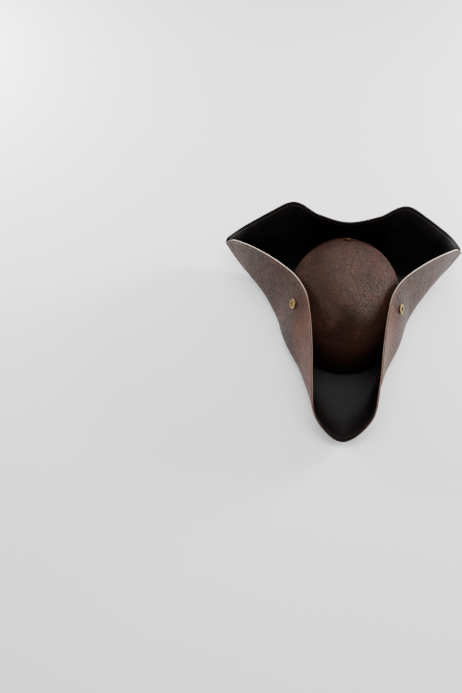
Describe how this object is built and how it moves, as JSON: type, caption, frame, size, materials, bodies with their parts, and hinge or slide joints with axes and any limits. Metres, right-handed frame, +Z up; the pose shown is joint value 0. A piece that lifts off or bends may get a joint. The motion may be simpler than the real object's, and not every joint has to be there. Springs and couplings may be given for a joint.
{
  "type": "pirate hat",
  "caption": "Three-cornered leather pirate hat with a moulded crown, a wide brim pinned up by a front tack and two press-stud fastened side flaps that fold down.",
  "frame": {"origin": "centre of the head opening, in the plane of the crown's lower edge", "axes": "+Z up out of the head, -Y to the front of the hat, +Y to the back spout, +X to the wearer's left, the longest way across the wing tips"},
  "size_m": [0.3752, 0.3366, 0.1361],
  "materials": {
    "brown_leather": "dark brown pebbled leather, satin",
    "black_lining": "smooth black lining, slightly glossy",
    "brim_core": "cream pressed-fibre core, matt",
    "stiffener": "stiff interlining, matt",
    "button_leather": "dark brown leather cover, satin",
    "thread": "waxed thread",
    "washer": "matt black",
    "antique_brass": "antique brass, darkened in the recesses"
  },
  "bodies": {
    "root": {"crown_leather": "brown_leather", "crown_interlining": "stiffener", "crown_lining": "black_lining", "sweatband": "black_lining", "opening_binding": "brown_leather", "brim_leather": "brown_leather", "brim_core": "brim_core", "brim_lining": "black_lining", "front_tack_button": "button_leather", "front_tack_washer": "washer", "front_tack_thread": "thread", "left_snap_stud": "antique_brass", "left_snap_eyelet": "antique_brass", "right_snap_stud": "antique_brass", "right_snap_eyelet": "antique_brass"},
    "left_flap": {"left_flap_leather": "brown_leather", "left_flap_core": "brim_core", "left_flap_lining": "black_lining", "left_snap_cap": "antique_brass", "left_snap_socket": "antique_brass"},
    "right_flap": {"right_flap_leather": "brown_leather", "right_flap_core": "brim_core", "right_flap_lining": "black_lining", "right_snap_cap": "antique_brass", "right_snap_socket": "antique_brass"}
  },
  "joints": [
    {"name": "left_flap_fold", "type": "hinge", "parent": "root", "child": "left_flap", "pos_m": [0.1034, 0.04, 0.007], "axis": [-0.4352, 0.9003, 0], "range_deg": [0, 35]},
    {"name": "right_flap_fold", "type": "hinge", "parent": "root", "child": "right_flap", "pos_m": [-0.1034, 0.04, 0.007], "axis": [-0.4352, -0.9003, 0], "range_deg": [0, 35]}
  ]
}
